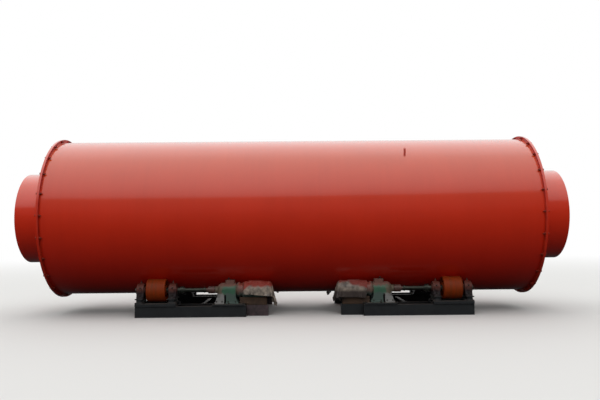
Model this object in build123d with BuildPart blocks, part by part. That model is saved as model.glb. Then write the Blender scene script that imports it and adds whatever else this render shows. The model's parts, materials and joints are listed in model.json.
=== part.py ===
"""Rotary drum dryer: a flanged drum with open necks, turned by four driven rollers.

Millimetres. +X runs along the drum to the outlet, +Z is up, and the floor is
z = 0 under the middle of the drum. The near side faces -Y.
"""
import os
from math import cos, radians, sin

from build123d import *

# Drum
drum_radius = 1500
drum_wall = 14
drum_half_length = 4550
flange_height = 60
shell_flange_thickness = 22
end_plate_thickness = 20
neck_radius = 875
neck_wall = 12
neck_length = 660
neck_weld = 14

# Lifting flights welded inside the drum, each an upright plate with a lip
flight_count = 12
flight_rings = 3
flight_height = 220
flight_lip = 110
flight_thickness = 8
flight_end_space = 150
flight_ring_space = 100
weld_gap = 0.5

# Where the four rollers carry the drum
support_angle = 36.3
station_spacing = 5417
station_shift = 204
contact_gap = 0.3

# Roller with its rim, web and hub
roller_radius = 206
roller_width = 345
roller_rim = 42
roller_web = 150
roller_hub_radius = 92
roller_edge = 16

# Shaft from the roller to the gearbox
axle_radius = 45
axle_seat_radius = 55
axle_stub = 22
coupling_start = 433
coupling_radius = 68
coupling_disc = 23
coupling_space = 6
coupling_hub_length = 26
coupling_hub_radius = 50
tube_radius = 36
tube_flange_radius = 52
tube_flange_thickness = 22
tube_flange_space = 58
hub_length = 122
hub_space = 10
hub_radius = 68
output_shaft_radius = 30
output_shaft_depth = 42
output_pocket_depth = 60
running_gap = 0.3

# Plummer blocks on their pedestals
bearing_spacing = 586
bearing_height = 140
bearing_width = 164
bearing_body_width = 128
bearing_body_radius = 122
bearing_seal_radius = 76
bearing_foot_length = 380
bearing_foot_thickness = 34
bearing_boss_radius = 22
bearing_boss_top = 150
cap_bolt_spacing = 226
cap_lug_length = 300
cap_lug_width = 76
cap_lug_height = 34
cap_split_depth = 5
cap_split_height = 4
pedestal_length = 450
pedestal_width = 140
pedestal_plate = 16
pedestal_inset = 22

# Base frame of channels, with bed rails under the pedestals; the plates on it stand proud
frame_height = 200
frame_width = 484
frame_outer = 358
frame_inner = 1645
channel_flange = 73
channel_web = 9
channel_flange_thickness = 11
bed_thickness = 50
bed_width = 120
bed_inner = 380
plate_overhang = 20
motor_beam_length = 395
motor_beam_width = 150

# Cross beams that tie the near and far frames together
cross_beam_height = 160
cross_beam_flange = 65
cross_beam_web = 8
cross_beam_places = (-330, 720)

# Gearbox, set back from the frame's inner end on a sole plate that lifts it to the roller's axis
sole_plate_lead = 30
sole_plate_thickness = 30
sole_plate_margin = 20
gearbox_shaft_height = 245
gearbox_setback = 575
gearbox_length = 380
gearbox_boss = 34
gearbox_boss_radius = 66
gearbox_body_radius = 128
gearbox_top = 126
gearbox_dome = 105
gearbox_foot_width = 340
gearbox_foot_thickness = 28
gearbox_flare_height = 110
gearbox_flare_start = 32
gearbox_flare_end = 50
gearbox_leg_gap_place = 170
gearbox_leg_gap = 36
gearbox_leg_gap_height = 158
gearbox_cover_top = 178
gearbox_cover_place = 188
gearbox_cover_length = 174
gearbox_cover_width = 120
gearbox_cover_corner = 24
gearbox_cover_offset = 15
adapter_length = 52
adapter_radius = 108
adapter_flange_radius = 134
adapter_flange_thickness = 24

# Motor, flanged to the gearbox and propped by timber
motor_length = 580
motor_radius = 136
motor_core_radius = 116
motor_flange_thickness = 22
motor_shield_length = 48
motor_fan_length = 130
motor_fan_radius = 130
motor_fan_edge = 24
motor_fin_count = 28
motor_fin_thickness = 5
terminal_box_place = 198
terminal_box_length = 200
terminal_box_width = 120
terminal_box_top = 150
timber_place = 18
timber_overhang = 20
timber_width = 170
timber_gap = 0.3

# Masking film hung over the motor
film_gap = 0.5
film_thickness = 6
film_drop = 150
film_flap_drop = 340

sole_height = frame_height + sole_plate_thickness
shaft_height = sole_height + gearbox_shaft_height
support_reach = drum_radius + contact_gap + roller_radius
axis_height = shaft_height + support_reach * cos(radians(support_angle))
roller_y = -support_reach * sin(radians(support_angle))
roller_x = station_shift - station_spacing / 2
frame_front = roller_y - frame_width / 2
frame_back = roller_y + frame_width / 2
plate_width = frame_width + 2 * plate_overhang
pedestal_height = shaft_height - frame_height - bed_thickness - bearing_height

# Places along the roller's axis, from the roller's middle: the drive follows the frame's inner end
gearbox_start = frame_inner - gearbox_setback
gearbox_body_end = gearbox_start + gearbox_length
gearbox_leg_gap_start = gearbox_start + gearbox_leg_gap_place
gearbox_cover_start = gearbox_start + gearbox_cover_place
adapter_end = gearbox_body_end + adapter_length
motor_end = adapter_end + motor_length
terminal_box_start = adapter_end + terminal_box_place
timber_start = adapter_end + timber_place
sole_plate_start = gearbox_start - sole_plate_lead
hub_start = gearbox_start - hub_space - hub_length
tube_flange_end = hub_start - tube_flange_space

drum_axis = Plane(origin=(0, 0, axis_height), x_dir=(0, 1, 0), z_dir=(1, 0, 0))
roller_axis = Plane(origin=(roller_x, roller_y, shaft_height), x_dir=(0, 1, 0), z_dir=(1, 0, 0))
unit_side = Plane(origin=(roller_x, roller_y, shaft_height), x_dir=(1, 0, 0), z_dir=(0, -1, 0))
unit_floor = Plane(origin=(roller_x, roller_y, 0))

inlet_to_outlet = Plane.YZ.offset(station_shift)
near_to_far = Plane.XZ
roller_units = {
    "left_near": (),
    "left_far": (near_to_far,),
    "right_near": (inlet_to_outlet,),
    "right_far": (inlet_to_outlet, near_to_far),
}

os.makedirs("parts", exist_ok=True)


def write_piece(name, piece):
    """Write one finished piece under its own name."""
    piece.label = name
    export_step(piece, f"parts/{name}.step")


def mirrored(piece, planes):
    """The piece as it stands after each mirror plane in turn."""
    for plane in planes:
        piece = mirror(piece, about=plane)
    return piece


def write_in_each_unit(name, piece):
    """Write the near left unit's piece, and its mirror image in the other three."""
    for unit, planes in roller_units.items():
        write_piece(f"{unit}_{name}", mirrored(piece, planes))


# The drum is turned steel plate, so the outlet end mirrors the inlet end
shell_half_length = drum_half_length - end_plate_thickness
flange_radius = drum_radius + flange_height
neck_end = drum_half_length + neck_length

with BuildPart() as drum_shell:
    with BuildSketch(drum_axis):
        Circle(drum_radius)
        Circle(drum_radius - drum_wall, mode=Mode.SUBTRACT)
    extrude(amount=shell_half_length, both=True)
write_piece("drum_shell", drum_shell.part)

with BuildPart() as outlet_flange_ring:
    with BuildSketch(drum_axis.offset(shell_half_length - shell_flange_thickness)):
        Circle(flange_radius)
        Circle(drum_radius, mode=Mode.SUBTRACT)
    extrude(amount=shell_flange_thickness)

with BuildPart() as outlet_end_plate:
    with BuildSketch(drum_axis.offset(shell_half_length)):
        Circle(flange_radius)
        Circle(neck_radius - neck_wall, mode=Mode.SUBTRACT)
    extrude(amount=end_plate_thickness)

# The neck is a rolled tube with a fillet weld round its foot
neck_plane = Plane(origin=(0, 0, axis_height), x_dir=(1, 0, 0), z_dir=(0, -1, 0))
neck_axis = Axis((0, 0, axis_height), (1, 0, 0))
with BuildPart() as outlet_neck:
    with BuildSketch(neck_plane):
        with BuildLine():
            Polyline(
                (drum_half_length, neck_radius - neck_wall),
                (neck_end, neck_radius - neck_wall),
                (neck_end, neck_radius),
                (drum_half_length + neck_weld, neck_radius),
                (drum_half_length, neck_radius + neck_weld),
                close=True,
            )
        make_face()
    revolve(axis=neck_axis)

for name, piece in (
    ("flange_ring", outlet_flange_ring),
    ("end_plate", outlet_end_plate),
    ("neck", outlet_neck),
):
    write_piece(f"outlet_{name}", piece.part)
    write_piece(f"inlet_{name}", mirror(piece.part, about=Plane.YZ))


def lifting_flights(ring):
    """One ring of L-shaped flights, turned half a pitch from the ring before it."""
    run = 2 * (shell_half_length - flight_end_space) + flight_ring_space
    pitch = run / flight_rings
    start = flight_end_space - shell_half_length + ring * pitch
    turn = 180 / flight_count * ring
    foot = drum_radius - drum_wall - weld_gap
    with BuildPart() as flights:
        with BuildSketch(drum_axis.offset(start)):
            with PolarLocations(foot - flight_height / 2, flight_count, start_angle=turn):
                Rectangle(flight_height, flight_thickness)
            with PolarLocations(foot - flight_height, flight_count, start_angle=turn):
                Rectangle(flight_thickness, flight_lip, align=(Align.MIN, Align.MIN))
        extrude(amount=pitch - flight_ring_space)
    return flights.part


flight_names = ("inlet_flights", "middle_flights", "outlet_flights")
for ring, name in enumerate(flight_names[:flight_rings]):
    write_piece(name, lifting_flights(ring))


# Each roller is a steel wheel with recessed sides, keyed on its axle
with BuildPart() as roller:
    with BuildSketch(roller_axis.offset(-roller_width / 2)):
        Circle(roller_radius)
    extrude(amount=roller_width)
    recess = (roller_width - roller_web) / 2
    for start in (-roller_width / 2, roller_width / 2 - recess):
        with BuildSketch(roller_axis.offset(start)):
            Circle(roller_radius - roller_rim)
            Circle(roller_hub_radius, mode=Mode.SUBTRACT)
        extrude(amount=recess, mode=Mode.SUBTRACT)
    rim_edges = roller.edges().filter_by(GeomType.CIRCLE).sort_by(SortBy.RADIUS)[-2:]
    fillet(rim_edges, roller_edge)
    with BuildSketch(roller_axis.offset(-roller_width / 2)):
        Circle(axle_seat_radius + running_gap)
    extrude(amount=roller_width, mode=Mode.SUBTRACT)
write_in_each_unit("roller", roller.part)


# The axle, coupling, tube and hub turn as one
axle_start = -(bearing_spacing + bearing_width) / 2 - axle_stub
second_disc = coupling_start + coupling_disc + coupling_space
coupling_end = second_disc + coupling_disc + coupling_hub_length
seat_half_length = (bearing_spacing - bearing_width) / 2 - axle_stub
hub_end = hub_start + hub_length
shaft_sections = (
    (axle_start, coupling_start, axle_radius),
    (-seat_half_length, seat_half_length, axle_seat_radius),
    (coupling_start - coupling_hub_length, coupling_start, coupling_hub_radius),
    (coupling_start, coupling_start + coupling_disc, coupling_radius),
    (coupling_start, hub_start, tube_radius),
    (second_disc, second_disc + coupling_disc, coupling_radius),
    (second_disc + coupling_disc, coupling_end, coupling_hub_radius),
    (tube_flange_end - tube_flange_thickness, tube_flange_end, tube_flange_radius),
    (hub_start, hub_end, hub_radius),
    (hub_end, gearbox_start + output_shaft_depth, output_shaft_radius),
)
with BuildPart() as drive_shaft:
    for start, end, radius in shaft_sections:
        with BuildSketch(roller_axis.offset(start)):
            Circle(radius)
        extrude(amount=end - start)
write_in_each_unit("drive_shaft", drive_shaft.part)


def plummer_block(place):
    """A split housing on its foot: the cap is bolted down at lugs on both sides."""
    centre = (roller_x + place, roller_y)
    foot = Plane(origin=(*centre, shaft_height - bearing_height))
    middle = Plane(origin=(*centre, shaft_height))
    body_start = roller_axis.offset(place - bearing_body_width / 2)
    bore_start = roller_axis.offset(place - bearing_width / 2)
    with BuildPart() as block:
        with BuildSketch(foot):
            SlotOverall(bearing_foot_length, bearing_body_width, rotation=90)
        extrude(amount=bearing_foot_thickness)
        with BuildSketch(body_start):
            Circle(bearing_body_radius)
            Rectangle(
                2 * bearing_body_radius,
                bearing_height,
                align=(Align.CENTER, Align.MAX),
            )
        extrude(amount=bearing_body_width)
        with BuildSketch(middle.offset(-cap_lug_height)):
            Rectangle(cap_lug_width, cap_lug_length)
        extrude(amount=2 * cap_lug_height)
        with BuildSketch(bore_start):
            Circle(bearing_seal_radius)
        extrude(amount=bearing_width)
        with BuildSketch(middle):
            Circle(bearing_boss_radius)
        extrude(amount=bearing_boss_top)
        with BuildSketch(middle.offset(-cap_split_height / 2)):
            Rectangle(bearing_width, cap_lug_length)
            Rectangle(
                bearing_width - 2 * cap_split_depth,
                cap_lug_length - 2 * cap_split_depth,
                mode=Mode.SUBTRACT,
            )
        extrude(amount=cap_split_height, mode=Mode.SUBTRACT)
        with BuildSketch(bore_start):
            Circle(axle_radius + running_gap)
        extrude(amount=bearing_width, mode=Mode.SUBTRACT)
    return block.part


def pedestal(place):
    """A welded stool: a base plate, a box and a top plate."""
    foot = Plane(origin=(roller_x + place, roller_y, frame_height + bed_thickness))
    with BuildPart() as stool:
        for height in (0, pedestal_height - pedestal_plate):
            with BuildSketch(foot.offset(height)):
                Rectangle(pedestal_width, pedestal_length)
            extrude(amount=pedestal_plate)
        with BuildSketch(foot):
            Rectangle(pedestal_width - 2 * pedestal_inset, pedestal_length - 2 * pedestal_inset)
        extrude(amount=pedestal_height)
    return stool.part


bearing_places = (-bearing_spacing / 2, bearing_spacing / 2)
write_in_each_unit("bearings", Compound([plummer_block(place) for place in bearing_places]))
write_in_each_unit("pedestals", Compound([pedestal(place) for place in bearing_places]))


def channel(plane, height, flange, web):
    """A channel's outline: the web stands on the plane's x = 0, the toes point to +x."""
    with BuildSketch(plane) as outline:
        Rectangle(flange, height, align=(Align.MIN, Align.MIN))
        with Locations((web, channel_flange_thickness)):
            Rectangle(
                flange,
                height - 2 * channel_flange_thickness,
                align=(Align.MIN, Align.MIN),
                mode=Mode.SUBTRACT,
            )
    return outline.sketch


# Two long channels, back to front, are closed at both ends and tied under each load
frame_start = roller_x - frame_outer
frame_length = frame_outer + frame_inner
gearbox_middle = (gearbox_start + gearbox_body_end) / 2
sole_plate_length = frame_inner - sole_plate_margin - sole_plate_start
front_corner = Plane(origin=(frame_start, frame_front, 0), x_dir=(0, 1, 0), z_dir=(1, 0, 0))
back_corner = Plane(
    origin=(frame_start + frame_length, frame_back, 0), x_dir=(0, -1, 0), z_dir=(-1, 0, 0)
)
tie_places = (-bearing_spacing / 2, bearing_spacing / 2, gearbox_middle)
with BuildPart() as base_frame:
    for corner in (front_corner, back_corner):
        extrude(channel(corner, frame_height, channel_flange, channel_web), amount=frame_length)
    start_corner = Plane(origin=(frame_start, frame_back, 0), x_dir=(1, 0, 0), z_dir=(0, -1, 0))
    end_corner = Plane(
        origin=(frame_start + frame_length, frame_front, 0), x_dir=(-1, 0, 0), z_dir=(0, 1, 0)
    )
    ties = [
        Plane(origin=(roller_x + place, frame_back, 0), x_dir=(1, 0, 0), z_dir=(0, -1, 0))
        for place in tie_places
    ]
    for corner in (start_corner, end_corner, *ties):
        extrude(channel(corner, frame_height, channel_flange, channel_web), amount=frame_width)
    with BuildSketch(unit_floor.offset(frame_height)):
        with Locations(((bed_inner - frame_outer) / 2, 0)):
            with GridLocations(0, plate_width - bed_width, 1, 2):
                Rectangle(bed_inner + frame_outer, bed_width)
    extrude(amount=bed_thickness)
    with BuildSketch(unit_floor.offset(frame_height)):
        with Locations((sole_plate_start, 0)):
            Rectangle(sole_plate_length, plate_width, align=(Align.MIN, Align.CENTER))
    extrude(amount=sole_plate_thickness)
    with BuildSketch(unit_floor):
        with Locations((frame_inner, 0)):
            Rectangle(motor_beam_length, motor_beam_width, align=(Align.MIN, Align.CENTER))
    extrude(amount=frame_height)
write_in_each_unit("base_frame", base_frame.part)


def cross_beam(place):
    """A channel on the floor between the near and the far frame."""
    corner = Plane(origin=(roller_x + place, -frame_back, 0), x_dir=(1, 0, 0), z_dir=(0, -1, 0))
    outline = channel(corner, cross_beam_height, cross_beam_flange, cross_beam_web)
    with BuildPart() as beam:
        extrude(outline, amount=-2 * frame_back)
    return beam.part


left_cross_beams = Compound([cross_beam(place) for place in cross_beam_places])
write_piece("left_cross_beams", left_cross_beams)
write_piece("right_cross_beams", mirrored(left_cross_beams, (inlet_to_outlet,)))


# The gear case: an arched body on two flared legs, domed at the shaft end, with a cover on top
body_start = gearbox_start + gearbox_boss
foot_start = body_start - gearbox_flare_start
foot_end = gearbox_body_end + gearbox_flare_end
with BuildPart() as gearbox:
    with BuildSketch(roller_axis.offset(body_start)):
        with Locations((0, gearbox_top - gearbox_body_radius)):
            Circle(gearbox_body_radius)
            Rectangle(
                2 * gearbox_body_radius,
                gearbox_shaft_height + gearbox_top - gearbox_body_radius,
                align=(Align.CENTER, Align.MAX),
            )
    extrude(amount=gearbox_body_end - body_start)
    arch = gearbox.faces().sort_by(Axis.X)[0].edges().filter_by(GeomType.CIRCLE)
    fillet(arch, gearbox_dome)
    with BuildSketch(unit_side.offset(gearbox_body_radius)):
        with BuildLine():
            Polyline(
                (foot_start, -gearbox_shaft_height),
                (body_start, gearbox_flare_height - gearbox_shaft_height),
                (gearbox_body_end, gearbox_flare_height - gearbox_shaft_height),
                (foot_end, -gearbox_shaft_height),
                close=True,
            )
        make_face()
    extrude(amount=-2 * gearbox_body_radius)
    with BuildSketch(Plane(origin=(roller_x, roller_y, sole_height))):
        with Locations(((foot_start + foot_end) / 2, 0)):
            Rectangle(foot_end - foot_start, gearbox_foot_width)
    extrude(amount=gearbox_foot_thickness)
    with BuildSketch(unit_side.offset(gearbox_foot_width / 2)):
        with Locations((gearbox_leg_gap_start + gearbox_leg_gap / 2, -gearbox_shaft_height)):
            SlotOverall(2 * gearbox_leg_gap_height, gearbox_leg_gap, rotation=90)
    extrude(amount=-gearbox_foot_width, mode=Mode.SUBTRACT)
    with BuildSketch(roller_axis.offset(gearbox_start)):
        Circle(gearbox_boss_radius)
    extrude(amount=gearbox_boss + gearbox_dome)
    with BuildSketch(Plane(origin=(roller_x, roller_y - gearbox_cover_offset, shaft_height))):
        with Locations((gearbox_cover_start + gearbox_cover_length / 2, 0)):
            RectangleRounded(gearbox_cover_length, gearbox_cover_width, gearbox_cover_corner)
    extrude(amount=gearbox_cover_top)
    with BuildSketch(roller_axis.offset(gearbox_body_end)):
        Circle(adapter_radius)
    extrude(amount=adapter_end - gearbox_body_end)
    with BuildSketch(roller_axis.offset(adapter_end - adapter_flange_thickness)):
        Circle(adapter_flange_radius)
    extrude(amount=adapter_flange_thickness)
    with BuildSketch(roller_axis.offset(gearbox_start)):
        Circle(output_shaft_radius + running_gap)
    extrude(amount=output_pocket_depth, mode=Mode.SUBTRACT)
write_in_each_unit("gearbox", gearbox.part)


# The motor: a ribbed stator between two end shields, with a fan cowl and a terminal box
with BuildPart() as motor:
    fan_start = motor_end - motor_fan_length
    stator_start = adapter_end + motor_flange_thickness + motor_shield_length
    with BuildSketch(roller_axis.offset(adapter_end)):
        Circle(adapter_flange_radius)
    extrude(amount=motor_flange_thickness)
    with BuildSketch(roller_axis.offset(adapter_end)):
        Circle(motor_core_radius)
    extrude(amount=motor_end - adapter_end)
    with BuildSketch(roller_axis.offset(stator_start)):
        with PolarLocations(motor_core_radius, motor_fin_count):
            Rectangle(2 * (motor_radius - motor_core_radius), motor_fin_thickness)
    extrude(amount=fan_start - stator_start)
    with BuildSketch(roller_axis.offset(fan_start)):
        Circle(motor_fan_radius)
    extrude(amount=motor_fan_length)
    cowl_rim = motor.edges().filter_by(GeomType.CIRCLE).sort_by(Axis.X)[-1:]
    fillet(cowl_rim, motor_fan_edge)
    with BuildSketch(Plane(origin=(roller_x, roller_y, shaft_height))):
        with Locations((terminal_box_start + terminal_box_length / 2, 0)):
            Rectangle(terminal_box_length, terminal_box_width)
    extrude(amount=terminal_box_top)
write_in_each_unit("motor", motor.part)


# A timber baulk props each motor, on a plank that makes the beam level with the sole plate
timber_end = frame_inner + motor_beam_length - timber_overhang
with BuildPart() as timber:
    with BuildSketch(unit_floor.offset(sole_height)):
        with Locations((timber_start, 0)):
            Rectangle(timber_end - timber_start, timber_width, align=(Align.MIN, Align.CENTER))
    extrude(amount=shaft_height - motor_radius - timber_gap - sole_height)
    with BuildSketch(unit_floor.offset(frame_height)):
        with Locations((frame_inner, 0)):
            Rectangle(timber_end - frame_inner, timber_width, align=(Align.MIN, Align.CENTER))
    extrude(amount=sole_plate_thickness)
timbers = [mirrored(timber.part, planes) for planes in roller_units.values()]
write_piece("motor_timbers", Compound(timbers))


def film_inside(growth):
    """The space under the film: the motor's outline, larger by the growth, and open down."""
    with BuildPart() as space:
        with BuildSketch(roller_axis.offset(adapter_end)):
            Circle(motor_radius + growth)
            Rectangle(
                2 * (motor_radius + growth),
                film_drop,
                align=(Align.CENTER, Align.MAX),
            )
        extrude(amount=motor_end + growth - adapter_end)
        with BuildSketch(Plane(origin=(roller_x, roller_y, shaft_height))):
            with Locations((terminal_box_start + terminal_box_length / 2, 0)):
                Rectangle(terminal_box_length + 2 * growth, terminal_box_width + 2 * growth)
        extrude(amount=terminal_box_top + growth)
    return space.part


# The film hangs straight down on both sides, and in a longer flap over the fan cowl
film_width = 2 * (motor_radius + film_gap + film_thickness)
with BuildPart() as motor_film:
    add(film_inside(film_gap + film_thickness))
    add(film_inside(film_gap), mode=Mode.SUBTRACT)
    with BuildSketch(roller_axis.offset(motor_end + film_gap)):
        Rectangle(film_width, film_flap_drop, align=(Align.CENTER, Align.MAX))
    extrude(amount=film_thickness)
write_in_each_unit("motor_film", motor_film.part)
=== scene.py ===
"""Looks for the rotary drum dryer: finishes, fastenings, masking film, floor, light and camera."""
import json
import math

import bmesh
import bpy
from mathutils import Matrix, Vector, noise


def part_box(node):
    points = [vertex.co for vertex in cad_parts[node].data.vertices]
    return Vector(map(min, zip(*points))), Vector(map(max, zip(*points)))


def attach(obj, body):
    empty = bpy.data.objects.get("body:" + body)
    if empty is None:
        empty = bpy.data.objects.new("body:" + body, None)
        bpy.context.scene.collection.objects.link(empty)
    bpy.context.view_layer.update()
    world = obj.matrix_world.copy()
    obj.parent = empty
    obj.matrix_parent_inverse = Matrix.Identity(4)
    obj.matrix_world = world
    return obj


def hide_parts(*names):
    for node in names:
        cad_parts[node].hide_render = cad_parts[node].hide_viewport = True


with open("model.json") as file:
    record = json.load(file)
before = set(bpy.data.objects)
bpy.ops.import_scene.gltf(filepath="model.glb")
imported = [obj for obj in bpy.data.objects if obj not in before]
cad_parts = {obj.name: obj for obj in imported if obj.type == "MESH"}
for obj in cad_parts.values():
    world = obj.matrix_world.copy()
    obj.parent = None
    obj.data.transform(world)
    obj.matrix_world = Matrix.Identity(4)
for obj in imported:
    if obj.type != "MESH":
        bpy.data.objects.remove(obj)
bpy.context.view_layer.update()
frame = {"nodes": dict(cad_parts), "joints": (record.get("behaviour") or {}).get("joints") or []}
scene = bpy.context.scene
scene.view_settings.view_transform = "Standard"


# The camera stands 13 m in front of the drum at chest height, with a 39 mm lens.
# It looks a little up and to the right, and leans half a degree.
camera_place = Vector((0.0396, -13.188, 1.4338))
camera_yaw, camera_pitch, camera_roll = 0.007817, 0.056, -0.009106
lens_mm, sensor_mm = 39.4, 36
sight_limit = 300


def add_object(name, data):
    """A new object in the scene."""
    thing = bpy.data.objects.new(name, data)
    scene.collection.objects.link(thing)
    return thing


forward = Vector((
    math.sin(camera_yaw) * math.cos(camera_pitch),
    math.cos(camera_yaw) * math.cos(camera_pitch),
    math.sin(camera_pitch),
))
level_right = Vector((math.cos(camera_yaw), -math.sin(camera_yaw), 0))
level_up = level_right.cross(forward)
right = level_right * math.cos(camera_roll) + level_up * math.sin(camera_roll)
up = level_up * math.cos(camera_roll) - level_right * math.sin(camera_roll)
lens = bpy.data.cameras.new("camera")
lens.lens = lens_mm
lens.sensor_width = sensor_mm
lens.clip_end = sight_limit
camera = add_object("camera", lens)
turn = Matrix((right, up, -forward)).transposed().to_4x4()
camera.matrix_world = Matrix.Translation(camera_place) @ turn
scene.camera = camera


# The drum is rolled 14 mm plate with flanges and necks welded on, sprayed orange-red.
# The enamel is a glossy film over a flatter coat, so it shows the sky as a soft pale band on its
# upper half, and the band's edge wavers a little with the waves of the rolled plate.
def linear(hex_code):
    """An sRGB hex colour as linear red, green, blue and alpha."""
    parts = [int(hex_code[start:start + 2], 16) / 255 for start in (1, 3, 5)]
    return [p / 12.92 if p <= 0.04045 else ((p + 0.055) / 1.055) ** 2.4 for p in parts] + [1.0]


def add_node(tree, kind, settings=None, inputs=None):
    """Add a node, set its properties, then set or link its inputs."""
    node = tree.nodes.new(kind)
    for name, value in (settings or {}).items():
        setattr(node, name, value)
    for name, value in (inputs or {}).items():
        if isinstance(value, bpy.types.NodeSocket):
            tree.links.new(value, node.inputs[name])
        else:
            node.inputs[name].default_value = value
    return node


def reckon(tree, operation, *values):
    """One step of arithmetic with numbers or sockets."""
    return add_node(
        tree, "ShaderNodeMath", {"operation": operation}, dict(enumerate(values))).outputs[0]


def mapped(tree, value, low, high, new_low=0, new_high=1, smooth=False):
    """A value carried from one range to another and held at its ends."""
    kind = "SMOOTHSTEP" if smooth else "LINEAR"
    return add_node(tree, "ShaderNodeMapRange", {"interpolation_type": kind}, {
        "Value": value, "From Min": low, "From Max": high,
        "To Min": new_low, "To Max": new_high}).outputs["Result"]


def mixed(tree, share, first, second):
    """Two colours, given as sockets or hex codes, with a share of the second."""
    pair = [linear(colour) if isinstance(colour, str) else colour for colour in (first, second)]
    return add_node(tree, "ShaderNodeMix", {"data_type": "RGBA"}, {
        0: share, 6: pair[0], 7: pair[1]}).outputs[2]


def split_xyz(tree, vector):
    """The X, Y and Z of a place or direction."""
    return add_node(tree, "ShaderNodeSeparateXYZ", inputs={"Vector": vector}).outputs


def stretched(tree, place, scale):
    """A place scaled on each axis, so that noise on it is drawn out."""
    return add_node(tree, "ShaderNodeMapping", inputs={
        "Vector": place, "Scale": scale}).outputs["Vector"]


def noise_at(tree, place, scale, detail, roughness=0.5):
    """Cloudy noise between 0 and 1."""
    return add_node(tree, "ShaderNodeTexNoise", inputs={
        "Vector": place, "Scale": scale, "Detail": detail, "Roughness": roughness}).outputs["Fac"]


def bumped(tree, height, strength, distance, normal=None):
    """The normal of a surface that rises by a height, over another normal if one is given."""
    inputs = {"Height": height, "Strength": strength, "Distance": distance}
    if normal is not None:
        inputs["Normal"] = normal
    return add_node(tree, "ShaderNodeBump", inputs=inputs).outputs["Normal"]


def soft_corners(tree, radius):
    """The normal of a surface with its edges rounded."""
    return add_node(tree, "ShaderNodeBevel", {"samples": 4}, {"Radius": radius}).outputs["Normal"]


def socket_name(word):
    """The name of a shader's input from its keyword."""
    return word.replace("_", " ").title().replace("Ior", "IOR")


def drive(shader, **results):
    """Link results to a shader's inputs."""
    for word, result in results.items():
        shader.id_data.links.new(result, shader.inputs[socket_name(word)])


def start_material(name, **constants):
    """A material with its output, a Principled shader with constants, and object coordinates."""
    material = bpy.data.materials.new(name)
    material.use_nodes = True
    tree = material.node_tree
    tree.nodes.clear()
    inputs = {socket_name(word): value for word, value in constants.items()}
    shader = add_node(tree, "ShaderNodeBsdfPrincipled", inputs=inputs)
    add_node(tree, "ShaderNodeOutputMaterial", inputs={"Surface": shader.outputs["BSDF"]})
    place = add_node(tree, "ShaderNodeTexCoord").outputs["Object"]
    return material, tree, shader, place


def finish_node(node, material):
    """Give one CAD node its finish."""
    materials = frame["nodes"][node].data.materials
    materials.clear()
    materials.append(material)


drum_enamel, tree, shader, place = start_material(
    "orange_red_enamel_sprayed", ior=1.5, specular_ior_level=0.3, coat_roughness=0.1, coat_ior=1.6)
split = split_xyz(tree, place)
run_place = stretched(tree, place, (11, 0.6, 0.6))
runs = noise_at(tree, run_place, 1, 3, 0.5)
clouds = noise_at(tree, place, 1.3, 6, 0.62)
both = reckon(tree, "MULTIPLY_ADD", runs, 0.4, clouds)
shade = mapped(tree, both, 0.45, 0.95, 0.95, 1.05)
# Painted light: the enamel's base colour is graded by height, stepping in for how light falls on the
# drum. It is a darker red low down, the strongest red just above the axis, and a less red, more orange
# top.
painted_shade_height, painted_light_height = 0.9, 2.9
painted_light_share = mapped(tree, split["Z"], painted_shade_height, painted_light_height)
painted_light_ramp = add_node(tree, "ShaderNodeValToRGB", inputs={"Fac": painted_light_share})
painted_light_ramp.color_ramp.elements[0].color = linear("#C9210D")
painted_light_ramp.color_ramp.elements[1].color = linear("#C04011")
painted_light_ramp.color_ramp.elements.new(0.52).color = linear("#D22F0F")
film = add_node(tree, "ShaderNodeVectorMath", {"operation": "SCALE"}, {
    0: painted_light_ramp.outputs["Color"], "Scale": shade})

# One short scrape through the gloss, 260 mm round the drum and 40 mm wide, near the outlet end.
# Its half width and half length each fade out between two values.
scrape_x, scrape_z, scrape_lean = 2.105, 3.0, 0.22
scrape_half_width, scrape_half_length = (0.012, 0.028), (0.06, 0.12)
above = reckon(tree, "SUBTRACT", split["Z"], scrape_z)
upright = reckon(tree, "MULTIPLY_ADD", above, -scrape_lean, split["X"])
from_middle = reckon(tree, "SUBTRACT", upright, scrape_x)
aside = reckon(tree, "ABSOLUTE", from_middle)
across = mapped(tree, aside, *scrape_half_width, 1, 0, smooth=True)
along = reckon(tree, "ABSOLUTE", above)
length = mapped(tree, along, *scrape_half_length, 1, 0, smooth=True)
near_side = reckon(tree, "LESS_THAN", split["Y"], 0.0)
mark = reckon(tree, "MULTIPLY", across, length)
scrape = reckon(tree, "MULTIPLY", mark, near_side)
scraped = mixed(tree, scrape, film.outputs["Vector"], "#8E2412")
gloss = reckon(tree, "SUBTRACT", 1.0, scrape)
torn = mapped(tree, scrape, 0, 1, 0.3, 0.8)

plate_waves = noise_at(tree, place, 0.9, 2, 0.4)
spray_grain = noise_at(tree, place, 90, 2, 0.5)
waves = bumped(tree, plate_waves, 1, 0.004)
peel = bumped(tree, spray_grain, 0.2, 0.0004, waves)
drive(shader, base_color=scraped, coat_weight=gloss, roughness=torn, normal=peel, coat_normal=waves)

# The flange rings' faces took the spray edge on, so their enamel is flat, and glossy on the rim only
drum_joint = next(j for j in frame["joints"] if j["name"] == "drum_spin")
axis_height = drum_joint["pos_m"][2]
ring_enamel, tree, shader, place = start_material(
    "orange_red_enamel_dry_sprayed", roughness=0.5, ior=1.5, coat_roughness=0.12, coat_ior=1.6)
split = split_xyz(tree, place)
lifted = reckon(tree, "SUBTRACT", split["Z"], axis_height)
arm = add_node(tree, "ShaderNodeCombineXYZ", inputs={"Y": split["Y"], "Z": lifted})
reach = add_node(tree, "ShaderNodeVectorMath", {"operation": "LENGTH"}, {0: arm.outputs["Vector"]})
glossy_rim_start, rim_radius = 1.556, 1.5595
rim = mapped(tree, reach.outputs["Value"], glossy_rim_start, rim_radius, 0.1, 1)
clouds = noise_at(tree, place, 5, 5, 0.6)
thin = mapped(tree, clouds, 0.35, 0.65)
ring_film = mixed(tree, thin, "#B82410", "#CC3014")
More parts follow.
